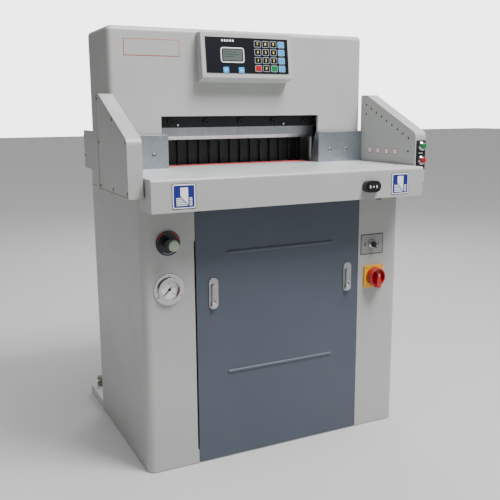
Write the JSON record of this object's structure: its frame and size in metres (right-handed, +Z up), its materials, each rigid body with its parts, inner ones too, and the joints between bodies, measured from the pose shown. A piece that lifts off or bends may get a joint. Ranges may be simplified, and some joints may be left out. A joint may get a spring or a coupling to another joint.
{
  "type": "guillotine paper cutter",
  "caption": "Floor-standing hydraulic guillotine paper cutter with a light-curtain front table, keypad console, ribbed backgauge and lift-off cabinet cover.",
  "frame": {"origin": "centre of the base plate's underside, on the floor", "axes": "+Z up, -Y towards the operator, +X to the operator's right"},
  "size_m": [0.965, 0.8595, 1.28],
  "materials": {
    "cast_green": "painted casting, satin",
    "frame_paint": "grey primer",
    "base_paint": "slate paint, satin",
    "light_paint": "light grey fine-textured powder coat",
    "slate_paint": "dark slate powder coat",
    "black_paint": "black satin",
    "galvanised": "galvanised sheet",
    "steel": "machined steel",
    "blade_steel": "ground steel",
    "table_chrome": "polished hard chrome",
    "chrome": "bright chrome",
    "zinc": "zinc plated",
    "stick_plastic": "hard plastic",
    "black_plastic": "moulded",
    "lens_plastic": "dark infra-red window",
    "keypad_film": "printed membrane",
    "green_plastic": "lens",
    "red_plastic": "moulded",
    "yellow_plastic": "moulded",
    "white_enamel": "enamelled dial in chromed case",
    "alloy": "cast alloy"
  },
  "bodies": {
    "machine": {"base_plate": "base_paint", "levelling_bolts": "zinc", "left_upright": "frame_paint", "right_upright": "frame_paint", "table_bed": "cast_green", "cross_beam": "cast_green", "front_table": "table_chrome", "cutting_stick": "stick_plastic", "rear_table": "light_paint", "upper_housing": "light_paint", "upper_rear_cover": "light_paint", "left_side_cover": "light_paint", "right_side_cover": "light_paint", "rear_cover": "light_paint", "left_guard": "light_paint", "right_guard": "light_paint", "left_guard_cover": "light_paint", "right_guard_cover": "light_paint", "cover_screws": "zinc", "curtain_lenses": "lens_plastic", "left_side_plate": "galvanised", "right_side_plate": "galvanised", "control_console": "slate_paint", "keypad_panel": "keypad_film", "backgauge_rods": "steel", "backgauge_motor": "black_paint", "oil_tank": "frame_paint", "pump_motor": "alloy", "electrical_box": "light_paint", "knife_cylinder": "frame_paint", "clamp_cylinder": "frame_paint", "gauge_case": "white_enamel", "regulator_valve": "black_paint", "main_switch_body": "yellow_plastic", "button_bezels": "chrome", "key_pod": "black_plastic", "cable_gland": "black_plastic"},
    "knife": {"knife_carrier": "black_paint", "knife_blade": "blade_steel", "knife_bolts": "zinc"},
    "link": {"knife_link": "steel"},
    "piston": {"knife_piston": "steel"},
    "clamp": {"clamp_beam": "black_paint", "clamp_rods": "steel", "clamp_yoke": "steel"},
    "gauge_stop": {"backgauge": "black_paint"},
    "screw": {"leadscrew": "steel"},
    "door": {"front_cover": "slate_paint", "lock_cases": "chrome"},
    "left_lock": {"left_lock_handle": "steel"},
    "right_lock": {"right_lock_handle": "steel"},
    "main_handle": {"main_switch_handle": "red_plastic"},
    "lever": {"selector_lever": "black_plastic"},
    "knob": {"pressure_knob": "steel"},
    "needle": {"gauge_needle": "black_paint"},
    "green_key": {"green_button": "green_plastic"},
    "red_key": {"red_button": "red_plastic"},
    "rocker": {"jog_rocker": "black_plastic"},
    "left_cut_key": {"left_cut_button": "black_plastic"},
    "right_cut_key": {"right_cut_button": "black_plastic"}
  },
  "joints": [
    {"name": "knife_drop", "type": "slide", "parent": "machine", "child": "knife", "axis": [0.5, 0, -0.866], "range_m": [0, 0.092]},
    {"name": "link_swing", "type": "hinge", "parent": "knife", "child": "link", "pos_m": [0.3, -0.072, 1.01], "axis": [0, 1, 0], "range_deg": [0, 6]},
    {"name": "piston_stroke", "type": "slide", "parent": "machine", "child": "piston", "axis": [0, 0, -1], "range_m": [0, 0.083]},
    {"name": "clamp_drop", "type": "slide", "parent": "machine", "child": "clamp", "axis": [0, 0, -1], "range_m": [0, 0.08]},
    {"name": "backgauge_travel", "type": "slide", "parent": "machine", "child": "gauge_stop", "axis": [0, 1, 0], "range_m": [0, 0.28]},
    {"name": "leadscrew_spin", "type": "hinge", "parent": "machine", "child": "screw", "pos_m": [0, -0.075, 0.822], "axis": [0, 1, 0], "range_deg": [-10, 5100]},
    {"name": "cover_pull", "type": "slide", "parent": "machine", "child": "door", "axis": [0, -1, 0], "range_m": [0, 0.25]},
    {"name": "left_lock_turn", "type": "hinge", "parent": "door", "child": "left_lock", "pos_m": [-0.224, -0.343, 0.536], "axis": [0, 1, 0], "range_deg": [0, 90]},
    {"name": "right_lock_turn", "type": "hinge", "parent": "door", "child": "right_lock", "pos_m": [0.236, -0.343, 0.536], "axis": [0, 1, 0], "range_deg": [0, 90]},
    {"name": "main_switch_turn", "type": "hinge", "parent": "machine", "child": "main_handle", "pos_m": [0.3355, -0.343, 0.51], "axis": [0, 1, 0], "range_deg": [0, 90]},
    {"name": "selector_turn", "type": "hinge", "parent": "machine", "child": "lever", "pos_m": [0.3295, -0.343, 0.615], "axis": [0, 1, 0], "range_deg": [0, 90]},
    {"name": "pressure_turn", "type": "hinge", "parent": "machine", "child": "knob", "pos_m": [-0.3585, -0.343, 0.678], "axis": [0, 1, 0], "range_deg": [0, 270]},
    {"name": "needle_swing", "type": "hinge", "parent": "machine", "child": "needle", "pos_m": [-0.3585, -0.343, 0.546], "axis": [0, 1, 0], "range_deg": [0, 240]},
    {"name": "green_press", "type": "slide", "parent": "machine", "child": "green_key", "axis": [0, 1, 0], "range_m": [0, 0.003], "stiffness_N_per_m": 400},
    {"name": "red_press", "type": "slide", "parent": "machine", "child": "red_key", "axis": [0, 1, 0], "range_m": [0, 0.003], "stiffness_N_per_m": 400},
    {"name": "jog_rock", "type": "hinge", "parent": "machine", "child": "rocker", "pos_m": [0.24, -0.461, 0.814], "axis": [0, 0, 1], "range_deg": [-5, 5], "stiffness_Nm_per_rad": 0.05},
    {"name": "left_cut_press", "type": "slide", "parent": "machine", "child": "left_cut_key", "axis": [0, 0, 1], "range_m": [0, 0.003], "stiffness_N_per_m": 400},
    {"name": "right_cut_press", "type": "slide", "parent": "machine", "child": "right_cut_key", "axis": [0, 0, 1], "range_m": [0, 0.003], "stiffness_N_per_m": 400}
  ],
  "couplings": [
    {"joint": "link_swing", "follows": "knife_drop", "rad_per_m": 0.8924},
    {"joint": "piston_stroke", "follows": "knife_drop", "ratio": 0.866},
    {"joint": "leadscrew_spin", "follows": "backgauge_travel", "rad_per_m": 314.16}
  ]
}
